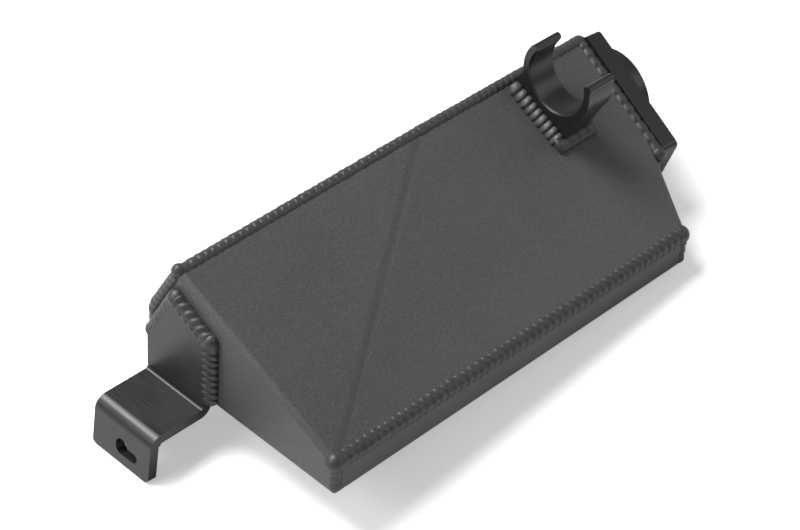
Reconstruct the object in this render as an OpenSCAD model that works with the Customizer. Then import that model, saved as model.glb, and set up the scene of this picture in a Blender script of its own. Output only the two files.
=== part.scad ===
// Coolant expansion tank for a car's engine bay, welded from folded aluminium sheet.
// X runs along the tank from the bracket to the filler neck, Y from the low front side to
// the back, Z up. The origin is the middle of the bottom sheet, on its underside. The sizes
// below count from the lower front left corner, and every piece is moved over at the end.
// All sizes are in millimetres.

/* [Tank body] */
// Length of the lower front edge
body_len = 240; // [200:1:300]
// Width across the bottom
body_w = 122; // [110:1:140]
// Height of the low front side
front_h = 19.7; // [15:0.1:26]
// Distance of the ridge from the front side
ridge_y = 102; // [90:1:108]
// Height of the ridge over the right part
ridge_h = 70; // [60:1:80]
// Height of the upright part of the back
back_h = 32.5; // [26:0.5:40]
// Where along the ridge the diagonal crease starts
crease_x = 153.6; // [120:0.1:180]
// Distance of the ridge from the front side at the left end
peak_y = 105; // [103:0.5:108]
// Sheet thickness
sheet_t = 2.5; // [2:0.1:3]
// Outside radius of the folds
fold_r = 3.5; // [3:0.1:5]

/* [Right end] */
// Angle in plan between the cut off corner and the Y axis
chamfer_angle = 24.5; // [15:0.5:35]
// Where the inner face of the end block would meet the front plane
block_x = 257.7; // [250:0.1:265]
// Angle in plan by which the end block is turned
block_skew = 5.95; // [0:0.05:8]
// Thickness of the end block
block_t = 9.3; // [8:0.1:12]
// Corner radius of the end block
block_r = 3; // [1:0.5:5]
// Distance of the block's upper front corner from the front plane
block_y0 = 35.7; // [30:0.1:40]
// Height of the block's upper front corner
block_z0 = 38.8; // [36:0.1:42]
// Lean of the block's front side from the vertical
block_lean = 18.1; // [10:0.1:26]

/* [Filler neck] */
// Radius of the neck
neck_r = 24; // [22:0.1:25]
// Length of the neck beyond the end block
neck_len = 9; // [6:0.5:14]
// Distance of the neck's centre from the front plane
neck_y = 88.3; // [84:0.1:92]
// Height of the neck's centre
neck_z = 35.4; // [33:0.1:40]
// Radius of the mouth
mouth_r = 17; // [14:0.5:19]
// Depth of the mouth down to its seat
mouth_depth = 14; // [10:1:16]
// Radius of the bore below the seat
throat_r = 13.5; // [10:0.5:15]

/* [Mounting bracket] */
// Thickness of the bracket's plate
bracket_t = 5; // [4:0.5:6]
// Near edge of the bracket, measured from the front side
bracket_y0 = 79.5; // [70:0.5:84]
// Width of the bracket
bracket_w = 38; // [34:1:40]
// Distance of the bracket's outer face from the end of the tank
bracket_out = 36; // [30:1:45]
// Depth of the outer leg below the shelf's upper side
bracket_drop = 25.3; // [22:0.1:30]
// Angle by which the outer leg is opened past square
bracket_flare = 5.3; // [0:0.1:8]
// Inside radius of the outer bend
bracket_bend = 1.5; // [1:0.5:3]
// Height of the narrow part of the slot
slot_h = 5.5; // [5:0.1:6.5]
// Width of the upright entry of the slot
entry_w = 7.5; // [7:0.1:8.5]
// Length of the slot
slot_len = 14.4; // [12:0.1:16]

/* [Hose clip] */
// Bore radius
clip_r = 16.9; // [15:0.1:18]
// Wall of the ring
clip_wall = 4.2; // [3.5:0.1:5]
// Length along the hose
clip_len = 17.5; // [14:0.5:22]
// Where the clip starts along the tank
clip_x = 212.6; // [200:0.1:220]
// Near side of the clip's foot, measured up the slope from the front corner
clip_v = 71.2; // [66:0.1:74]
// Width of the clip's foot
clip_foot = 37; // [33:0.5:39]
// Height of the bore's centre above the sloped face
clip_h = 26.1; // [24:0.1:29]
// Angle of the upper tip above the slope, seen from the bore's centre
tip_back = 9; // [5:1:20]
// Angle of the lower tip
tip_front = 138; // [130:1:145]

/* [Ports] */
// Outside radius of a port
port_r = 9.5; // [9:0.5:11]
// Bore radius of a port
port_bore = 6; // [5:0.5:7]
// Length of a port outside the back
port_len = 9; // [6:1:12]
// Position of the outlet along the tank
outlet_x = 44; // [36:1:60]
// Position of the vent along the tank
vent_x = 206; // [190:1:220]
// Height of both ports
port_z = 16.5; // [15:0.5:18]

/* [Weld beads] */
// Length of one ripple
ripple = 4.65; // [4:0.05:6]
// Depth of the dip between two ripples
ripple_dip = 0.55; // [0.3:0.05:0.8]

/* [Hidden] */
$fn = 48;
big = 600;
coat = "#3b3b3a";
machined = "#2b2b2c";
bead = "#454544";

// The slopes and corners of the wedge shaped section
face_slope = atan((ridge_h - front_h) / ridge_y);
back_slope = (ridge_h - back_h) / (body_w - ridge_y);
peak_h = ridge_h - (peak_y - ridge_y) * back_slope;
front_corner = [0, 0, front_h];
peak = [0, peak_y, peak_h];
crease_top = [crease_x, ridge_y, ridge_h];
knee = [0, body_w, back_h];

// The outward directions of the flat sides
function unit(v) = v / norm(v);
left_n = [-1, 0, 0];
right_top_n = [0, -sin(face_slope), cos(face_slope)];
left_top_n = unit(cross(crease_top - front_corner, peak - front_corner));
slant_n = unit([0, ridge_h - back_h, body_w - ridge_y]);
chamfer_n = [cos(chamfer_angle), -sin(chamfer_angle), 0];
block_n = [cos(block_skew), -sin(block_skew), 0];
chamfer_p = [body_len - 0.6, 0, 0];
block_p = [block_x, 0, 0];

// Where the cut off corner meets the end block, in plan
meet_y = (block_x - chamfer_p[0]) / (tan(chamfer_angle) - tan(block_skew));
meet = [block_x + meet_y * tan(block_skew), meet_y, 0];
function top_z(y) = front_h + y * tan(face_slope);

// A turn that takes the Z axis to a given direction
module aim(v) {
    rotate([0, acos(v[2] / norm(v)), atan2(v[1], v[0])]) children();
}

// Everything behind a plane through p with the outward direction n
module behind(p, n) {
    translate(p) aim(n) translate([-big, -big, -2 * big]) cube([2 * big, 2 * big, 2 * big]);
}

// The tank's outside with sharp edges, moved inwards by a distance
module wedge(inset, end_gap) {
    intersection() {
        translate([inset, inset, inset]) cube([big, body_w - 2 * inset, big]);
        behind(front_corner - inset * right_top_n, right_top_n);
        behind(front_corner - inset * left_top_n, left_top_n);
        behind([0, ridge_y, ridge_h] - inset * slant_n, slant_n);
        behind(chamfer_p - inset * chamfer_n, chamfer_n);
        behind(block_p + end_gap * block_n, block_n);
    }
}

// Takes the sharp corner off an edge from p to q between two outward directions
module fold_cut(p, q, n1, n2, r) {
    d = unit(q - p);
    b = cross(d, n1);
    c2 = n1 * n2;
    s2 = b * n2;
    depth = r - 0.03;
    axis = [-depth, -depth * s2 / (1 + c2)];
    tall = norm(q - p) + 40;
    multmatrix([
        [n1[0], b[0], d[0], p[0]],
        [n1[1], b[1], d[1], p[1]],
        [n1[2], b[2], d[2], p[2]],
        [0, 0, 0, 1]])
        translate([0, 0, -20]) difference() {
            linear_extrude(tall)
                polygon([axis, axis + [r + 1, 0], [1, s2], axis + (r + 1) * [c2, s2]]);
            translate([axis[0], axis[1], -1]) cylinder(r = r, h = tall + 2);
        }
}

// The rounded outsides of the folds
module folds() {
    fold_cut([0, 0, 0], [0, body_w, 0], left_n, [0, 0, -1], fold_r);
    fold_cut([0, 0, 0], [body_len, 0, 0], [0, -1, 0], [0, 0, -1], fold_r);
    fold_cut(front_corner, peak, left_n, left_top_n, fold_r);
    fold_cut([chamfer_p[0], 0, front_h], [meet[0], meet[1], top_z(meet_y)],
        chamfer_n, right_top_n, fold_r);
    fold_cut(knee, knee + [block_x + 12, 0, 0], [0, 1, 0], slant_n, fold_r);
}

// Where a seam's edges are bevelled for its bead, by a leg length on both faces
module bevel(p, n1, n2, leg) {
    n = unit(n1 + n2);
    behind(p - leg * sqrt((1 - n1 * n2) / 2) * n, n);
}

// The filled tank with its folds rounded and its seams bevelled
module tank_solid() {
    difference() {
        intersection() {
            wedge(0, 0);
            bevel(front_corner, [0, -1, 0], right_top_n, 3.2);
            bevel([0, 0, 0], [0, -1, 0], left_n, 3.2);
            bevel(chamfer_p, [0, -1, 0], chamfer_n, 3.2);
            bevel(chamfer_p, [0, 0, -1], chamfer_n, 3.2);
            bevel([0, ridge_y, ridge_h], right_top_n, slant_n, 3.2);
            bevel(peak, left_n, slant_n, 3.2);
            bevel(knee, left_n, [0, 1, 0], 3.2);
            bevel(knee - [0, 0, back_h], [0, 0, -1], [0, 1, 0], 3.2);
        }
        folds();
    }
}

// Everything inside the back panel
module inside_back() {
    intersection() {
        translate([-5, -5, -5]) cube([big, body_w - sheet_t + 5, big]);
        behind([0, ridge_y, ridge_h] - sheet_t * slant_n, slant_n);
    }
}

// The hollow between the faces of the folded sheet, open to the back
module hollow() {
    intersection() {
        translate([sheet_t, sheet_t, sheet_t]) cube([big, big, big]);
        behind(front_corner - sheet_t * right_top_n, right_top_n);
        behind(front_corner - sheet_t * left_top_n, left_top_n);
        behind(chamfer_p - sheet_t * chamfer_n, chamfer_n);
    }
}

// Where a bead's centre line lies below two outward directions
function sunk(n1, s1, n2, s2) =
    let (c = n1 * n2) ((s1 - c * s2) * n1 + (s2 - c * s1) * n2) / (1 - c * c);

// A string of weld ripples as a turned solid from p to q
module ripples(p, q, r, pitch = ripple, dip = ripple_dip) {
    len = norm(q - p);
    n = max(1, round(len / pitch));
    step = len / n;
    outline = [for (i = [0 : n - 1]) each
        [[r - dip, i * step], [r, (i + 0.34) * step], [r, (i + 0.66) * step]]];
    translate(p) aim(q - p) rotate_extrude($fn = 32)
        polygon(concat([[0, 0]], outline, [[r - dip, len], [0, len]]));
}

// Centre lines of the corner beads
edge_r = 3.5;
front_sink = sunk([0, -1, 0], 3.5, right_top_n, 3.7);
front_a = [3, 0, front_h] - front_sink;
front_b = [chamfer_p[0] - 1, 0, front_h] - front_sink;
corner_sink = sunk([0, -1, 0], 2.5, left_n, 2.5);
corner_a = [0, 0, 3] - corner_sink;
corner_b = [0, 0, front_h - 3] - corner_sink;
right_sink = sunk([0, -1, 0], 2.6, chamfer_n, 2.6);
right_a = [chamfer_p[0], 0, 2.5] - right_sink;
right_b = [chamfer_p[0], 0, front_h - 3] - right_sink;
foot_sink = sunk(chamfer_n, 2.4, [0, 0, -1], 3.6);
foot_dir = unit(meet - [chamfer_p[0], 0, 0]);
foot_a = [chamfer_p[0], 0, 0] + 4 * foot_dir - foot_sink;
foot_b = meet - 3 * foot_dir - foot_sink;
ridge_sink = sunk(right_top_n, 2.3, slant_n, 2.3);
ridge_a = crease_top - ridge_sink;
ridge_b = [block_x + ridge_y * tan(block_skew) - 3, ridge_y, ridge_h] - ridge_sink;
peak_sink = sunk(left_top_n, 2.3, slant_n, 2.3);
peak_a = peak + [3, 0, 0] - peak_sink;
gable_sink = sunk(left_n, 2.3, slant_n, 2.3);
gable_a = peak + 3 * unit(knee - peak) - gable_sink;
gable_b = knee - sunk(left_n, 2.3, [0, 1, 0], 2.3);
side_b = [0, body_w, 3] - sunk(left_n, 2.3, [0, 1, 0], 2.3);
back_sink = sunk([0, 0, -1], 3.6, [0, 1, 0], 2.3);
back_a = [3, body_w, 0] - back_sink;
back_b = [block_x + body_w * tan(block_skew) - 3, body_w, 0] - back_sink;

// Moves a piece from the corner's frame to the middle of the bottom sheet
module centred() {
    translate([-body_len / 2, -body_w / 2, 0]) children();
}

// One sheet folded to the front strip, the bottom, the left end, the creased top and the corner
module body_sheet() {
    color(coat) centred() difference() {
        intersection() {
            tank_solid();
            inside_back();
        }
        hollow();
    }
}

// The back, folded once along its length, with a hole under each port
module back_panel() {
    color(coat) centred() difference() {
        tank_solid();
        inside_back();
        port_hole(outlet_x);
        port_hole(vent_x);
    }
}

module port_hole(x) {
    translate([x, body_w - 20, port_z]) rotate([-90, 0, 0]) cylinder(r = port_bore, h = 40);
}

// A frame whose XY plane is the inner face of the end block
module on_end() {
    multmatrix([
        [sin(block_skew), 0, cos(block_skew), block_x],
        [cos(block_skew), 0, -sin(block_skew), 0],
        [0, 1, 0, 0],
        [0, 0, 0, 1]]) children();
}

// Outline of the end block in its own plane
block_low = 0.6;
block_top = 98.8;
block_back = 120.2;
function along(y) = y / cos(block_skew);
block_pts = [
    [along(block_y0 + (block_z0 - block_low) * tan(block_lean)), block_low],
    [along(block_back), block_low],
    [along(block_back), 31.2],
    [along(block_top), 31.2 + (block_back - block_top) * back_slope],
    [along(block_y0), block_z0]];

// A convex plate with rounded corners
module rounded_plate(pts, r, h) {
    n = len(pts);
    difference() {
        linear_extrude(h) polygon(pts);
        for (i = [0 : n - 1]) {
            a = pts[(i + n - 1) % n];
            b = pts[i];
            c = pts[(i + 1) % n];
            u = (a - b) / norm(a - b);
            v = (c - b) / norm(c - b);
            half = acos(u * v) / 2;
            m = (u + v) / norm(u + v);
            centre = b + m * r / sin(half);
            t = r / tan(half);
            translate([0, 0, -1]) difference() {
                linear_extrude(h + 2)
                    polygon([b - m, b + t * u - m, b + t * u, centre, b + t * v, b + t * v - m]);
                translate([centre[0], centre[1], -1]) cylinder(r = r, h = h + 4);
            }
        }
    }
}

// The machined end block in one piece with its filler neck
module end_block() {
    face = block_t + neck_len;
    color(machined) centred() on_end() difference() {
        union() {
            rounded_plate(block_pts, block_r, block_t);
            translate([along(neck_y), neck_z, block_t - 1]) {
                cylinder(r = neck_r, h = neck_len + 0.2, $fn = 96);
                translate([0, 0, neck_len + 0.2])
                    cylinder(r1 = neck_r, r2 = neck_r - 0.8, h = 0.8, $fn = 96);
            }
        }
        translate([along(neck_y), neck_z, -1]) cylinder(r = throat_r, h = 60, $fn = 96);
        translate([along(neck_y), neck_z, face - mouth_depth]) cylinder(r = mouth_r, h = 60, $fn = 96);
        translate([along(neck_y), neck_z, face - 1])
            cylinder(r1 = mouth_r, r2 = mouth_r + 1.2, h = 1.2, $fn = 96);
    }
}

// The mounting bracket: a leg welded to the tank's end, a shelf and an outer leg with a slot
bend_o = bracket_t + bracket_bend;
bracket_y1 = bracket_y0 + bracket_w;
leg_pts = [
    [bracket_y0, -bracket_t],
    [bracket_y0, 38.5],
    [102, 49.5],
    [bracket_y1, 21],
    [bracket_y1, -bracket_t]];
outer_n = [-cos(bracket_flare), 0, sin(bracket_flare)];
down_n = [-sin(bracket_flare), 0, -cos(bracket_flare)];
outer_p = [-bracket_out, 0, 0];
outer_len = bracket_drop / cos(bracket_flare);

// The space above the shelf, with the inside of the inner bend
module above_shelf() {
    difference() {
        translate([-60, 0, 0]) cube([60 - bracket_t, big, big]);
        fold_cut([-bracket_t, 0, 0], [-bracket_t, body_w, 0], [1, 0, 0], [0, 0, -1], bracket_bend);
    }
}

// The space under the shelf, with the inside of the outer bend
module under_shelf() {
    q = outer_p + [bracket_t * (tan(bracket_flare) + 1 / cos(bracket_flare)), 0, -bracket_t];
    difference() {
        intersection() {
            behind(outer_p - bracket_t * outer_n, outer_n);
            behind([0, 0, -bracket_t], [0, 0, 1]);
        }
        fold_cut(q, q + [0, body_w, 0], outer_n, [0, 0, 1], bracket_bend);
    }
}

// Rounds a lower corner of the outer leg
module foot_corner(y, side) {
    r = 2.5;
    difference() {
        translate([side < 0 ? y - r : y - 1, -outer_len - 1, -1]) cube([r + 1, r + 1, bracket_t + 4]);
        translate([y + side * r, r - outer_len, -2]) cylinder(r = r, h = bracket_t + 6);
    }
}

// The slot with its wider upright entry
module slot_cut() {
    slot_y = 8.1 + slot_h / 2;
    slot_d = 17.6;
    entry_y = 8.1 + slot_len - entry_w / 2;
    entry_d = slot_d + slot_h / 2 - entry_w / 2;
    translate([0, 0, -1]) {
        translate([slot_y, -slot_d, 0]) cylinder(r = slot_h / 2, h = bracket_t + 3);
        translate([slot_y, -slot_d - slot_h / 2, 0]) cube([entry_y - slot_y, slot_h, bracket_t + 3]);
        translate([entry_y, -entry_d, 0]) cylinder(r = entry_w / 2, h = bracket_t + 3);
        translate([entry_y - entry_w / 2, -entry_d, 0]) cube([entry_w, 1.2, bracket_t + 3]);
        translate([entry_y, 1.2 - entry_d, 0]) cylinder(r = entry_w / 2, h = bracket_t + 3);
    }
}

module mounting_bracket() {
    middle = -20;
    color(coat) centred() union() {
        difference() {
            intersection() {
                translate([middle, 0, 0]) rotate([90, 0, 90]) linear_extrude(-middle) polygon(leg_pts);
                translate([middle, 0, -bracket_t]) cube([-middle, big, big]);
            }
            above_shelf();
            fold_cut([0, 0, -bracket_t], [0, body_w, -bracket_t], [1, 0, 0], [0, 0, -1], bend_o);
        }
        difference() {
            intersection() {
                translate([middle - 60, bracket_y0, -60]) cube([60, bracket_w, 60]);
                behind(outer_p, outer_n);
                behind(outer_p + outer_len * down_n, down_n);
            }
            under_shelf();
            fold_cut(outer_p, outer_p + [0, body_w, 0], outer_n, [0, 0, 1], bend_o);
            translate([outer_p[0], bracket_y0, 0]) rotate([0, bracket_flare, 0]) rotate([90, 0, 90]) {
                slot_cut();
                foot_corner(0, 1);
                foot_corner(bracket_w, -1);
            }
        }
    }
}

// The sloped top right of the crease as a work plane
module on_face() {
    translate([0, 0, front_h]) rotate([face_slope, 0, 0]) children();
}

// A frame at the clip's near face with its Z axis along the hose
ring_r = clip_r + clip_wall;
clip_c = clip_v - 0.4 + ring_r;
module on_clip() {
    translate([clip_x, clip_c, clip_h]) rotate([90, 0, 90]) children();
}

function polar(r, a) = [r * cos(a), r * sin(a)];

// The machined hose clip
module hose_clip() {
    side = clip_v - clip_c;
    middle = (tip_back + tip_front) / 2;
    color(machined) centred() on_face() on_clip() difference() {
        union() {
            difference() {
                union() {
                    cylinder(r = ring_r, h = clip_len, $fn = 96);
                    translate([side, -clip_h, 0]) cube([-side, clip_h, clip_len]);
                    translate([side, -clip_h, 0]) cube([clip_foot, 12.5, clip_len]);
                }
                translate([0, 0, -1]) linear_extrude(clip_len + 2)
                    polygon([[0, 0], polar(60, tip_back), polar(90, middle), polar(60, tip_front)]);
            }
            translate(polar(clip_r + clip_wall / 2 + 0.1, tip_back)) cylinder(r = 2.05, h = clip_len);
            translate(polar(clip_r + clip_wall / 2 + 0.8, tip_front)) cylinder(r = 2.2, h = clip_len);
        }
        translate([0, 0, -1]) cylinder(r = clip_r, h = clip_len + 2, $fn = 96);
        translate([0, 0, -0.01]) cylinder(r1 = clip_r + 0.8, r2 = clip_r, h = 0.8, $fn = 96);
        translate([0, 0, clip_len - 0.79]) cylinder(r1 = clip_r, r2 = clip_r + 0.8, h = 0.8, $fn = 96);
    }
}

// A plain welded socket on the back
module port(x) {
    translate([x, body_w, port_z]) rotate([-90, 0, 0]) difference() {
        union() {
            cylinder(r = port_r, h = port_len - 0.8);
            translate([0, 0, port_len - 0.8]) cylinder(r1 = port_r, r2 = port_r - 0.8, h = 0.8);
        }
        translate([0, 0, -1]) cylinder(r = port_bore, h = port_len + 2);
        translate([0, 0, port_len - 1]) cylinder(r1 = port_bore, r2 = port_bore + 1.1, h = 1.1);
    }
}

module outlet_port() {
    color(machined) centred() port(outlet_x);
}

module vent_port() {
    color(machined) centred() port(vent_x);
}

// The fillet around a port
module port_weld(x) {
    w = port_r + 2.8;
    translate([x, body_w, port_z]) rotate([-90, 0, 0]) rotate_extrude()
        polygon([[port_r, 0], [w, 0], [w - 0.5, 1.6], [w - 1.6, 2.7], [port_r, 3.1]]);
}

module outlet_weld() {
    color(bead) centred() port_weld(outlet_x);
}

module vent_weld() {
    color(bead) centred() port_weld(vent_x);
}

// The ball shaped ends of the front seam
module seam_end(p) {
    translate(p) sphere(r = 4.8, $fn = 32);
}

module front_seam_weld() {
    color(bead) centred() difference() {
        ripples(front_a, front_b, 4.6);
        tank_solid();
        seam_end(front_a);
        seam_end(front_b);
    }
}

module front_corner_weld() {
    color(bead) centred() difference() {
        union() {
            ripples(corner_a, corner_b, edge_r);
            seam_end(front_a);
        }
        tank_solid();
    }
}

module right_corner_weld() {
    color(bead) centred() difference() {
        union() {
            ripples(right_a, right_b, edge_r);
            seam_end(front_b);
        }
        tank_solid();
    }
}

module chamfer_foot_weld() {
    color(bead) centred() difference() {
        ripples(foot_a, foot_b, edge_r, 6);
        tank_solid();
    }
}

// The ridge is welded in two runs that meet above the crease
module left_ridge_weld() {
    color(bead) centred() difference() {
        ripples(peak_a, ridge_a + 2 * unit(ridge_a - peak_a), edge_r, 4.2);
        tank_solid();
        translate([crease_x, 0, 0]) cube([big, big, big]);
    }
}

module right_ridge_weld() {
    color(bead) centred() difference() {
        ripples(ridge_a - [2.1, 0, 0], ridge_b, edge_r, 4.2);
        tank_solid();
        translate([crease_x - big, 0, 0]) cube([big, big, big]);
    }
}

module left_gable_weld() {
    color(bead) centred() difference() {
        union() {
            ripples(gable_a, gable_b, edge_r);
            ripples(gable_b, side_b, edge_r);
            translate(gable_b) sphere(r = edge_r - ripple_dip / 2);
        }
        tank_solid();
    }
}

module back_foot_weld() {
    color(bead) centred() difference() {
        ripples(back_a, back_b, edge_r, 6);
        tank_solid();
    }
}

// The bead around the inner face of the end block
end_r = 4.1;
function end_pt(y, z, back) = [block_x + y * tan(block_skew) - back, y, z];
e_top = sunk(right_top_n, 2.7, slant_n, 2.7);
e1 = end_pt(40, 3.5, 1.5);
e2 = end_pt(38.6, front_h + 38.6 * tan(face_slope) - 3, 2);
e3 = [block_x + ridge_y * tan(block_skew) - 2.4, ridge_y, ridge_h] - e_top;
e4 = end_pt(body_w - 2.7, back_h - 0.8, 2.4);
e5 = end_pt(body_w - 2.7, 3, 2.4);
module end_block_weld() {
    color(bead) centred() difference() {
        union() {
            ripples(e1, e2, 2.4);
            ripples(e2, e3, end_r);
            ripples(e3, e4, end_r);
            ripples(e4, e5, end_r);
            translate(e2) sphere(r = 4.3, $fn = 32);
            translate(e3) sphere(r = end_r, $fn = 32);
            translate(e4) sphere(r = end_r, $fn = 32);
        }
        tank_solid();
        on_end() translate([-20, -20, 0]) cube([200, 200, 40]);
    }
}

// The bead around the bracket's welded leg
leg_r = 4.5;
leg_x = -0.8;
b1 = [leg_x, leg_pts[3][0] + 0.2, leg_pts[3][1] - 1];
b2 = [leg_x, leg_pts[2][0] + 0.2, leg_pts[2][1] + 0.2];
b3 = [leg_x, leg_pts[1][0] - 0.1, leg_pts[1][1] + 0.1];
b4 = [leg_x, leg_pts[0][0] - 0.2, 3];
// What the bracket's bead must leave free
module end_and_leg() {
    translate([0, -1, -20]) cube([20, 200, 120]);
    translate([-bracket_t, 0, 0]) rotate([90, 0, 90]) linear_extrude(bracket_t + 1) polygon(leg_pts);
}

module bracket_back_weld() {
    color(bead) centred() difference() {
        ripples(b1, b2, leg_r, 4.1);
        end_and_leg();
        translate(b2) sphere(r = leg_r + 0.2, $fn = 32);
    }
}

module bracket_top_weld() {
    color(bead) centred() difference() {
        union() {
            ripples(b2, b3, leg_r, 4.1);
            translate(b2) sphere(r = leg_r + 0.2, $fn = 32);
            translate(b3) sphere(r = leg_r + 0.2, $fn = 32);
        }
        end_and_leg();
    }
}

module bracket_side_weld() {
    color(bead) centred() difference() {
        ripples(b3, b4, leg_r, 4.1);
        end_and_leg();
        translate(b3) sphere(r = leg_r + 0.2, $fn = 32);
    }
}

// The beads at the foot of the hose clip
module under_clip() {
    on_face() translate([clip_x - 20, clip_v - 20, -20]) cube([60, 80, 20]);
}

module clip_end_weld() {
    color(bead) centred() difference() {
        on_face() translate([clip_x + 0.4, clip_v, -0.35]) ripples([0, 0.7, 0], [0, clip_foot, 0], 5.6);
        under_clip();
        on_face() translate([clip_x, clip_v, -6]) cube([clip_len, clip_foot, 20]);
    }
}

module clip_side_weld() {
    side_x = clip_x + clip_len + 4;
    color(bead) centred() difference() {
        on_face() ripples([clip_x - 4, clip_v - 0.5, -0.8], [side_x, clip_v - 0.5, -0.8], 5.2, 6, 0.3);
        under_clip();
        on_face() translate([clip_x, clip_v, -6]) cube([clip_len, clip_foot, 20]);
        on_face() translate([clip_x - 10, clip_v + 0.4, -6]) cube([10, 12, 20]);
    }
}

body_sheet();
back_panel();
end_block();
mounting_bracket();
hose_clip();
outlet_port();
vent_port();
front_seam_weld();
front_corner_weld();
right_corner_weld();
chamfer_foot_weld();
left_ridge_weld();
right_ridge_weld();
left_gable_weld();
back_foot_weld();
end_block_weld();
bracket_back_weld();
bracket_top_weld();
bracket_side_weld();
clip_end_weld();
clip_side_weld();
outlet_weld();
vent_weld();
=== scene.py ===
import math
import random

import bmesh
import bpy
from mathutils import Matrix, Vector


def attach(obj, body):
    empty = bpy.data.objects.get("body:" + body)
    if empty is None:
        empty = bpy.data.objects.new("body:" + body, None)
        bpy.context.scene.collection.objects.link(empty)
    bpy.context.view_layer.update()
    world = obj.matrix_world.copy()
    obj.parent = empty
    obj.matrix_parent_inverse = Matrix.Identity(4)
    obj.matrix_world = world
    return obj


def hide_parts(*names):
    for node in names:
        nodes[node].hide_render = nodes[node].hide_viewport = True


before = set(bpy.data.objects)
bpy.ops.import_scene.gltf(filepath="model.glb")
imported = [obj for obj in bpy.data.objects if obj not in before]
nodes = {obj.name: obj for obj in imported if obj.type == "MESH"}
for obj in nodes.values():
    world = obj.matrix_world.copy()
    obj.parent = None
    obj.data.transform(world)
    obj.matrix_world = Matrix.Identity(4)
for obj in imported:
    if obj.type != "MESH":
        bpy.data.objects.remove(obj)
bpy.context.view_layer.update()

mm = 0.001
print("frame loaded:", len(nodes), "pieces")


# ---- small helpers

def linearColour(hexText):
    values = [int(hexText[i:i + 2], 16) / 255 for i in (1, 3, 5)]
    return [v / 12.92 if v <= 0.04045 else ((v + 0.055) / 1.055) ** 2.4 for v in values] + [1.0]


def addNode(tree, kind, inputs=None, **settings):
    node = tree.nodes.new(kind)
    for key, value in settings.items():
        setattr(node, key, value)
    for key, value in (inputs or {}).items():
        if isinstance(value, bpy.types.NodeSocket):
            tree.links.new(value, node.inputs[key])
        else:
            node.inputs[key].default_value = value
    return node


def newMaterial(name):
    material = bpy.data.materials.new(name)
    material.use_nodes = True
    tree = material.node_tree
    tree.nodes.clear()
    output = tree.nodes.new("ShaderNodeOutputMaterial")
    return material, tree, output


# ---- finishes

coatedSheet = {
    "dark": "#3b3b3a",
    "light": "#535351",
    "grain": 0.7,       # mm, the fine texture of the coat
    "cloud": 90.0,      # mm, slow change of tone
    "bump": 0.4,
    "roughLow": 0.42,
    "roughHigh": 0.52,
    "stretch": 1.0,     # more than 1 draws the grain out along the width
}
brushedPlate = {
    "dark": "#121212",
    "light": "#2a2a2a",
    "grain": 0.5,
    "cloud": 20.0,
    "bump": 0.6,
    "roughLow": 0.30,
    "roughHigh": 0.44,
    "stretch": 30.0,
}
coatedBead = {
    "dark": "#2a2a29",
    "light": "#42423f",
    "grain": 0.6,
    "cloud": 5.0,
    "bump": 0.2,
    "roughLow": 0.40,
    "roughHigh": 0.50,
    "stretch": 1.0,
}
machinedBlack = {
    "dark": "#161617",
    "light": "#1f1f20",
    "grain": 0.4,
    "cloud": 25.0,
    "bump": 0.08,
    "roughLow": 0.30,
    "roughHigh": 0.38,
    "stretch": 1.0,
}


# the crease groove is drawn as a bump, and its colour is also darkened along it as painted shade
creaseLine = {
    "through": (-120.0, -61.0, 19.7),   # mm, a point on the crease
    "across": (0.55320, -0.83305, 0.0),   # unit direction square to it, in plan
    "halfWidth": 3.2,                   # mm, the shallow groove that the press brake leaves
    "depth": 0.35,                      # mm
    "lowest": 16.0,                     # mm above the bottom
    # share of the colour kept along the crease: painted shade where the groove would lie in shade
    "paintedShade": 0.80,
}


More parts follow.
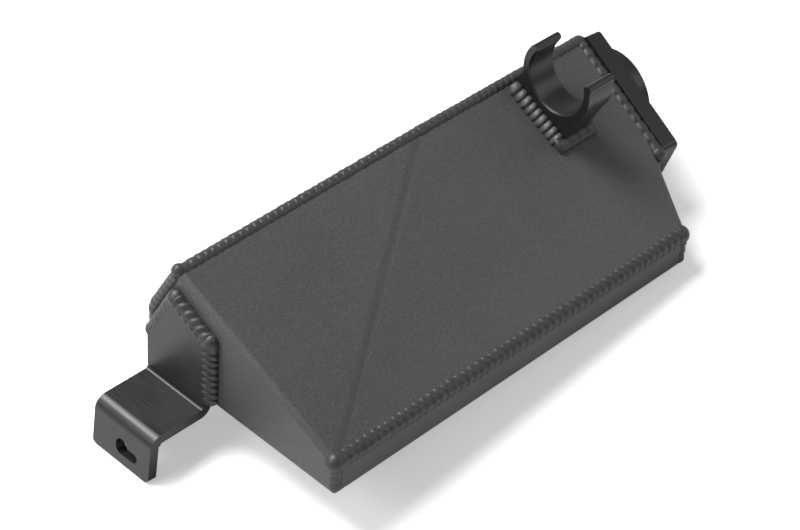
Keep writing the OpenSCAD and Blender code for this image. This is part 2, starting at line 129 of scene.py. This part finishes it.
def satinBlack(name, look, crease=None):
    material, tree, output = newMaterial(name)
    place = addNode(tree, "ShaderNodeTexCoord")
    drawn = addNode(tree, "ShaderNodeMapping", {"Vector": place.outputs["Object"],
                                                "Scale": (1.0, 1.0 / look["stretch"], 1.0)})
    cloud = addNode(tree, "ShaderNodeTexNoise",
                    {"Vector": place.outputs["Object"], "Scale": 1 / (look["cloud"] * mm), "Detail": 3.0})
    grain = addNode(tree, "ShaderNodeTexNoise",
                    {"Vector": drawn.outputs["Vector"], "Scale": 1 / (look["grain"] * mm), "Detail": 2.0})
    both = addNode(tree, "ShaderNodeMix", {"Factor": 0.75, "A": cloud.outputs["Fac"],
                                           "B": grain.outputs["Fac"]}, data_type="FLOAT")
    tone = addNode(tree, "ShaderNodeValToRGB", {"Fac": both.outputs["Result"]})
    tone.color_ramp.elements[0].position = 0.35
    tone.color_ramp.elements[0].color = linearColour(look["dark"])
    tone.color_ramp.elements[1].position = 0.65
    tone.color_ramp.elements[1].color = linearColour(look["light"])
    rough = addNode(tree, "ShaderNodeMapRange",
                    {"Value": both.outputs["Result"], "From Min": 0.3, "From Max": 0.7,
                     "To Min": look["roughLow"], "To Max": look["roughHigh"]})
    bump = addNode(tree, "ShaderNodeBump",
                   {"Height": grain.outputs["Fac"], "Strength": look["bump"], "Distance": 0.05 * mm})
    colour = tone.outputs["Color"]
    normal = bump.outputs["Normal"]
    if crease:
        fromLine = addNode(tree, "ShaderNodeVectorMath",
                           {0: place.outputs["Object"], 1: [c * mm for c in crease["through"]]},
                           operation="SUBTRACT")
        across = addNode(tree, "ShaderNodeVectorMath", {0: fromLine.outputs[0], 1: crease["across"]},
                         operation="DOT_PRODUCT")
        away = addNode(tree, "ShaderNodeMath", {0: across.outputs["Value"]}, operation="ABSOLUTE")
        groove = addNode(tree, "ShaderNodeMapRange",
                         {"Value": away.outputs[0], "From Min": 0.0, "From Max": crease["halfWidth"] * mm,
                          "To Min": 0.0, "To Max": 1.0}, interpolation_type="SMOOTHSTEP")
        parts = addNode(tree, "ShaderNodeSeparateXYZ", {"Vector": place.outputs["Object"]})
        below = addNode(tree, "ShaderNodeMath", {0: parts.outputs["Z"], 1: crease["lowest"] * mm},
                        operation="LESS_THAN")   # keeps the line off the underside
        line = addNode(tree, "ShaderNodeMath", {0: groove.outputs[0], 1: below.outputs[0]},
                       operation="MAXIMUM")
        grooveBump = addNode(tree, "ShaderNodeBump",
                             {"Height": line.outputs[0], "Strength": 1.0,
                              "Distance": crease["depth"] * mm, "Normal": normal})
        # painted shade: the colour is darkened along the crease groove
        shade = addNode(tree, "ShaderNodeMapRange",
                        {"Value": line.outputs[0], "To Min": crease["paintedShade"], "To Max": 1.0})
        paintedShadeColour = addNode(tree, "ShaderNodeVectorMath", {0: colour, "Scale": shade.outputs[0]},
                           operation="SCALE")
        colour = paintedShadeColour.outputs[0]
        normal = grooveBump.outputs["Normal"]
    shader = addNode(tree, "ShaderNodeBsdfPrincipled",
                     {"Base Color": colour, "Roughness": rough.outputs["Result"],
                      "Normal": normal, "Metallic": 0.0, "Specular IOR Level": 0.5})
    tree.links.new(shader.outputs["BSDF"], output.inputs["Surface"])
    return material


creasedCoatPaintedShade = satinBlack("creasedSatinBlackCoatPaintedShade", coatedSheet, creaseLine)
satinCoat = satinBlack("satinBlackCoat", coatedSheet)
beadCoat = satinBlack("coatedWeldBead", coatedBead)
anodised = satinBlack("blackAnodisedAluminium", machinedBlack)
brushed = satinBlack("brushedBlackPlate", brushedPlate)


def dress(name, material):
    mesh = nodes[name].data
    mesh.materials.clear()
    mesh.materials.append(material)


dress("body_sheet", creasedCoatPaintedShade)
dress("back_panel", satinCoat)
dress("mounting_bracket", brushed)
for name in ("end_block", "hose_clip", "outlet_port", "vent_port"):
    dress(name, anodised)
for name in nodes:
    if name.endswith("_weld"):
        dress(name, beadCoat)
print("finishes done")


# ---- weld beads, drawn as strings of rounded ripples over the plain solids

tank = {
    "frontHeight": 19.7,
    "ridgeY": 102.0,
    "ridgeHeight": 70.0,
    "peakY": 105.0,
    "width": 122.0,
    "backHeight": 32.5,
    "creaseX": 153.6,
    "chamferX": 239.4,
    "chamferAngle": 24.5,
    "blockX": 257.7,
    "blockSkew": 5.95,
}
middle = Vector((-120, -61, 0))   # from the lower front left corner to the middle of the bottom
faceSlope = math.atan2(tank["ridgeHeight"] - tank["frontHeight"], tank["ridgeY"])
backSlope = (tank["ridgeHeight"] - tank["backHeight"]) / (tank["width"] - tank["ridgeY"])
frontCorner = Vector((0, 0, tank["frontHeight"]))
peak = Vector((0, tank["peakY"], tank["ridgeHeight"] - (tank["peakY"] - tank["ridgeY"]) * backSlope))
creaseTop = Vector((tank["creaseX"], tank["ridgeY"], tank["ridgeHeight"]))
knee = Vector((0, tank["width"], tank["backHeight"]))
leftN = Vector((-1, 0, 0))
frontN = Vector((0, -1, 0))
backN = Vector((0, 1, 0))
rightTopN = Vector((0, -math.sin(faceSlope), math.cos(faceSlope)))
leftTopN = (creaseTop - frontCorner).cross(peak - frontCorner).normalized()
slantN = Vector((0, backSlope, 1)).normalized()
chamferRad = math.radians(tank["chamferAngle"])
skewTan = math.tan(math.radians(tank["blockSkew"]))
chamferN = Vector((math.cos(chamferRad), -math.sin(chamferRad), 0))


# how far a bead's line lies in from an edge, from its depths below the two faces
def sunk(n1, s1, n2, s2):
    c = n1.dot(n2)
    return ((s1 - c * s2) * n1 + (s2 - c * s1) * n2) / (1 - c * c)


beadShape = {
    "roundSteps": 24,
    "unevenPitch": 0.10,     # share of a ripple
    "unevenRadius": 0.10,    # mm
    "rise": 0.2,             # share of a ripple in which its edge rises
    "fall": 1.7,             # power of the slow fall behind it
    "places": (0, 0.09, 0.2, 0.42, 0.64, 0.84),   # points of the outline in a ripple
    "calmDip": 0.35,         # dip at the start of a calm bead, as a share of the full one
    "leanFrom": 0.6,         # how far up its side a ripple starts to lean forward
    "peelGap": 0.0005,       # mm, doubles closer than this are merged
}


# a string of ripples from start to end, turned about its own line, in millimetres
def rippleMesh(bm, start, end, radius, pitch, dip, outward, lean=1.6, seed=1, calm=0.0):
    rng = random.Random(seed)
    along = end - start
    length = along.length
    along.normalize()
    count = max(1, round(length / pitch))
    edges = [0.0]
    for i in range(count):
        edges.append(edges[-1] + 1 + rng.uniform(-beadShape["unevenPitch"], beadShape["unevenPitch"]))
    scale = length / edges[-1]
    edges = [e * scale for e in edges]
    side = along.cross(outward).normalized()
    first = bmesh.new()
    profile = []
    for i in range(count):
        size = radius + rng.uniform(-beadShape["unevenRadius"], beadShape["unevenRadius"])
        depth = dip
        if calm:
            low = beadShape["calmDip"]
            depth = dip * (low + (1 - low) * min(1, i / (count * calm)))
        rise = beadShape["rise"]
        for t in beadShape["places"]:
            drop = depth * (1 - t / rise if t < rise else ((t - rise) / (1 - rise)) ** beadShape["fall"])
            profile.append((edges[i] + t * (edges[i + 1] - edges[i]), size - drop))
    profile.append((edges[-1], radius - dip))
    points = [first.verts.new((0, 0, 0))]
    points += [first.verts.new((0, r, z)) for z, r in profile]
    points.append(first.verts.new((0, 0, edges[-1])))
    for a, b in zip(points, points[1:]):
        first.edges.new((a, b))
    bmesh.ops.spin(first, geom=first.verts[:] + first.edges[:], cent=(0, 0, 0), axis=(0, 0, 1),
                   angle=2 * math.pi, steps=beadShape["roundSteps"], use_merge=True, use_duplicate=False)
    bmesh.ops.remove_doubles(first, verts=first.verts[:], dist=beadShape["peelGap"])
    for v in first.verts:
        reach = math.hypot(v.co.x, v.co.y)
        if reach > 0.5 and 0 < v.co.z < length:
            crown = v.co.y / reach
            nearEnd = min(1, v.co.z / pitch, (length - v.co.z) / pitch)
            v.co.z += lean * (crown - beadShape["leanFrom"]) * nearEnd
    place = Matrix((
        (side.x, outward.x, along.x, start.x),
        (side.y, outward.y, along.y, start.y),
        (side.z, outward.z, along.z, start.z),
        (0, 0, 0, 1)))
    bmesh.ops.transform(first, matrix=place, verts=first.verts[:])
    bmesh.ops.recalc_face_normals(first, faces=first.faces[:])
    part = bpy.data.meshes.new("part")
    first.to_mesh(part)
    first.free()
    bm.from_mesh(part)
    bpy.data.meshes.remove(part)


def addBall(bm, centre, radius):
    bmesh.ops.create_uvsphere(bm, u_segments=24, v_segments=14, radius=radius,
                              matrix=Matrix.Translation(centre))


def finishBead(bm, name, node):
    bmesh.ops.translate(bm, vec=middle, verts=bm.verts[:])
    bmesh.ops.scale(bm, vec=(mm, mm, mm), verts=bm.verts[:])
    mesh = bpy.data.meshes.new(name)
    bm.to_mesh(mesh)
    bm.free()
    mesh.polygons.foreach_set("use_smooth", [True] * len(mesh.polygons))
    mesh.materials.append(beadCoat)
    piece = bpy.data.objects.new(name, mesh)
    bpy.context.scene.collection.objects.link(piece)
    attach(piece, "root")
    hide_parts(node)
    return piece


def seamBead(name, node, p, q, n1, s1, n2, s2, radius, pitch, dip=0.6, seed=1, balls=(), calm=0.0):
    shift = sunk(n1, s1, n2, s2)
    bm = bmesh.new()
    out = (n1 + n2).normalized()
    rippleMesh(bm, p - shift, q - shift, radius, pitch, dip, out, seed=seed, calm=calm)
    for centre, size in balls:
        addBall(bm, centre, size)
    return finishBead(bm, name, node)


frontShift = sunk(frontN, 3.5, rightTopN, 3.7)
frontStart = Vector((3, 0, tank["frontHeight"])) - frontShift
frontEnd = Vector((tank["chamferX"] - 1, 0, tank["frontHeight"])) - frontShift
seamBead("frontSeamBead", "front_seam_weld", Vector((3, 0, tank["frontHeight"])),
         Vector((tank["chamferX"] - 1, 0, tank["frontHeight"])), frontN, 3.5, rightTopN, 3.7, 4.6, 4.4,
         dip=0.75, seed=3, calm=0.45)
seamBead("frontCornerBead", "front_corner_weld", Vector((0, 0, 3)), Vector((0, 0, 16.7)),
         frontN, 2.5, leftN, 2.5, 3.5, 4.65, seed=4, balls=[(frontStart, 4.78)])
seamBead("rightCornerBead", "right_corner_weld", Vector((tank["chamferX"], 0, 2.5)),
         Vector((tank["chamferX"], 0, 16.7)), frontN, 2.6, chamferN, 2.6, 3.5, 4.65, seed=5,
         balls=[(frontEnd, 4.78)])
seamBead("leftRidgeBead", "left_ridge_weld", peak + Vector((3, 0, 0)), creaseTop,
         leftTopN, 2.3, slantN, 2.3, 3.5, 4.2, dip=0.3, seed=6)
seamBead("rightRidgeBead", "right_ridge_weld", creaseTop - Vector((2, 0, 0)),
         Vector((tank["blockX"] + tank["ridgeY"] * skewTan - 3, tank["ridgeY"], tank["ridgeHeight"])),
         rightTopN, 2.3, slantN, 2.3, 3.5, 4.2, dip=0.3, seed=7)
gableStart = peak + 3 * (knee - peak).normalized()
gable = bmesh.new()
rippleMesh(gable, gableStart - sunk(leftN, 2.3, slantN, 2.3), knee - sunk(leftN, 2.3, backN, 2.3), 3.5, 4.65,
           0.4, (leftN + slantN).normalized(), seed=8)
rippleMesh(gable, knee - sunk(leftN, 2.3, backN, 2.3), Vector((0, tank["width"], 3)) - sunk(leftN, 2.3, backN, 2.3),
           3.5, 4.65, 0.4, (leftN + backN).normalized(), seed=9)
addBall(gable, peak + Vector((2.2, -0.3, -2.2)), 3.4)
finishBead(gable, "leftGableBead", "left_gable_weld")

endWeld = bmesh.new()


def endPoint(y, z, back):
    return Vector((tank["blockX"] + y * skewTan - back, y, z))


endTop = Vector((tank["blockX"] + tank["ridgeY"] * skewTan - 2.4, tank["ridgeY"], tank["ridgeHeight"]))
endTop -= sunk(rightTopN, 2.7, slantN, 2.7)
endPoints = [endPoint(40, 3.5, 1.5),
             endPoint(38.6, tank["frontHeight"] + 38.6 * math.tan(faceSlope) - 3, 2),
             endTop,
             endPoint(tank["width"] - 2.7, tank["backHeight"] - 0.8, 2.4),
             endPoint(tank["width"] - 2.7, 3, 2.4)]
endOut = [Vector((0, -1, 0)), rightTopN, slantN, backN]
for i, radius in enumerate((2.4, 4.1, 4.1, 4.1)):
    rippleMesh(endWeld, endPoints[i], endPoints[i + 1], radius, 6.0, 0.5, endOut[i], lean=2.0, seed=10 + i)
addBall(endWeld, endPoints[1], 4.3)
addBall(endWeld, endPoints[2], 4.0)
addBall(endWeld, endPoints[3], 4.0)
finishBead(endWeld, "endBlockBead", "end_block_weld")

legCorners = [Vector((-0.8, 117.7, 20.0)), Vector((-0.8, 102.2, 49.7)), Vector((-0.8, 79.4, 38.6)),
              Vector((-0.8, 79.3, 3.0))]
for i, (name, node) in enumerate((("bracketBackBead", "bracket_back_weld"), ("bracketTopBead", "bracket_top_weld"),
                                  ("bracketSideBead", "bracket_side_weld"))):
    run = bmesh.new()
    rippleMesh(run, legCorners[i], legCorners[i + 1], 4.5, 4.1, 0.75, leftN, lean=-2.0, seed=20 + i)
    if i == 1:
        addBall(run, legCorners[1], 4.6)
        addBall(run, legCorners[2], 4.6)
    finishBead(run, name, node)


# a point from its place along the tank, up the slope and off the sloped face
def onFace(x, v, n):
    return Vector((x, v * math.cos(faceSlope) - n * math.sin(faceSlope),
                   tank["frontHeight"] + v * math.sin(faceSlope) + n * math.cos(faceSlope)))


clipEnd = bmesh.new()
rippleMesh(clipEnd, onFace(213.0, 71.9, -0.35), onFace(213.0, 108.2, -0.35), 5.6, 4.2, 0.9,
           (leftN + rightTopN).normalized(), lean=-2.2, seed=30)
finishBead(clipEnd, "clipEndBead", "clip_end_weld")
clipSide = bmesh.new()
rippleMesh(clipSide, onFace(208.6, 70.7, -0.8), onFace(234.1, 70.7, -0.8), 5.2, 6.0, 0.35,
           (frontN + rightTopN).normalized(), seed=31)
finishBead(clipSide, "clipSideBead", "clip_side_weld")
print("weld beads done")


# ---- floor, backdrop and lights

restTilt = math.radians(4.8)   # the real tank stands on its bracket's leg and its end block
floorN = Vector((-math.sin(restTilt), 0, math.cos(restTilt)))
floorLow = min(floorN.dot(v.co) for node in nodes.values() for v in node.data.vertices)


# matt white that also glows a little to the camera alone, so its shadow stays
def whiteGround(name, glow):
    material, tree, output = newMaterial(name)
    rays = addNode(tree, "ShaderNodeLightPath")
    matt = addNode(tree, "ShaderNodeBsdfDiffuse", {"Color": (0.93, 0.93, 0.93, 1)})
    place = addNode(tree, "ShaderNodeTexCoord")
    away = addNode(tree, "ShaderNodeVectorMath", {0: place.outputs["Object"]}, operation="LENGTH")
    far = addNode(tree, "ShaderNodeMapRange",
                  {"Value": away.outputs["Value"], "From Min": 0.6, "From Max": 2.0, "To Min": glow, "To Max": 1.0})
    light = addNode(tree, "ShaderNodeMath", {0: rays.outputs["Is Camera Ray"], 1: far.outputs["Result"]},
                    operation="MULTIPLY")   # whiter where the lamps don't reach
    shine = addNode(tree, "ShaderNodeEmission", {"Strength": light.outputs[0]})
    both = addNode(tree, "ShaderNodeAddShader", {0: matt.outputs[0], 1: shine.outputs[0]})
    tree.links.new(both.outputs[0], output.inputs["Surface"])
    return material


floorBm = bmesh.new()
bmesh.ops.create_grid(floorBm, x_segments=1, y_segments=1, size=6.0)
turn = Vector((0, 0, 1)).rotation_difference(floorN).to_matrix().to_4x4()
bmesh.ops.transform(floorBm, matrix=Matrix.Translation(floorN * floorLow) @ turn, verts=floorBm.verts[:])
floorMesh = bpy.data.meshes.new("studioFloor")
floorBm.to_mesh(floorMesh)
floorBm.free()
floorMesh.materials.append(whiteGround("whiteGround", 0.42))
floor = bpy.data.objects.new("studioFloor", floorMesh)
bpy.context.scene.collection.objects.link(floor)

world = bpy.data.worlds.new("studioWorld")
bpy.context.scene.world = world
world.use_nodes = True
worldTree = world.node_tree
worldTree.nodes.clear()
worldRays = addNode(worldTree, "ShaderNodeLightPath")
mirroredRays = addNode(worldTree, "ShaderNodeMath",
                       {0: worldRays.outputs["Is Glossy Ray"], 1: worldRays.outputs["Is Transmission Ray"]},
                       operation="MAXIMUM")
surround = addNode(worldTree, "ShaderNodeMix", {"Factor": mirroredRays.outputs[0], "A": 0.15, "B": 0.36},
                   data_type="FLOAT")
worldLight = addNode(worldTree, "ShaderNodeMix",
                     {"Factor": worldRays.outputs["Is Camera Ray"], "A": surround.outputs["Result"], "B": 1.0},
                     data_type="FLOAT")   # white to the camera
background = addNode(worldTree, "ShaderNodeBackground",
                     {"Color": (1, 1, 1, 1), "Strength": worldLight.outputs["Result"]})
worldOut = addNode(worldTree, "ShaderNodeOutputWorld", {"Surface": background.outputs[0]})

tankMiddle = Vector((0, 0, 0.02))


def softLamp(name, place, size, watts):
    data = bpy.data.lights.new(name, "AREA")
    data.shape = "DISK"
    data.size = size
    data.energy = watts
    lamp = bpy.data.objects.new(name, data)
    bpy.context.scene.collection.objects.link(lamp)
    lamp.location = place
    lamp.rotation_mode = "QUATERNION"
    lamp.rotation_quaternion = (tankMiddle - place).to_track_quat("-Z", "Y")


softLamp("topLamp", Vector((-0.45, 0.8, 1.5)), 1.0, 38)
softLamp("leftLamp", Vector((-1.4, 0.5, 0.9)), 0.8, 8)
softLamp("rightLamp", Vector((1.0, -0.8, 0.9)), 0.9, 2.5)
print("stage done")


# ---- camera, from the fit of the straight edges in the photograph

cameraFit = {
    "place": (-556.4958, -519.6284, 772.8982),
    "right": (0.69923, -0.712222, 0.061787),
    "up": (0.426033, 0.484542, 0.764012),
    "forward": (0.574085, 0.507897, -0.642237),
    "focalPixels": 2475.358,
    "imageWidth": 800,
}
cameraData = bpy.data.cameras.new("photoCamera")
cameraData.sensor_width = 36
cameraData.lens = cameraFit["focalPixels"] * 36 / cameraFit["imageWidth"]
cameraData.clip_start = 0.05
cameraData.clip_end = 50
camera = bpy.data.objects.new("photoCamera", cameraData)
bpy.context.scene.collection.objects.link(camera)
right, up, forward = (Vector(cameraFit[k]) for k in ("right", "up", "forward"))
camera.matrix_world = Matrix((
    (right.x, up.x, -forward.x, (cameraFit["place"][0] + middle.x) * mm),
    (right.y, up.y, -forward.y, (cameraFit["place"][1] + middle.y) * mm),
    (right.z, up.z, -forward.z, (cameraFit["place"][2] + middle.z) * mm),
    (0, 0, 0, 1)))
bpy.context.scene.camera = camera
bpy.context.scene.view_settings.view_transform = "Standard"
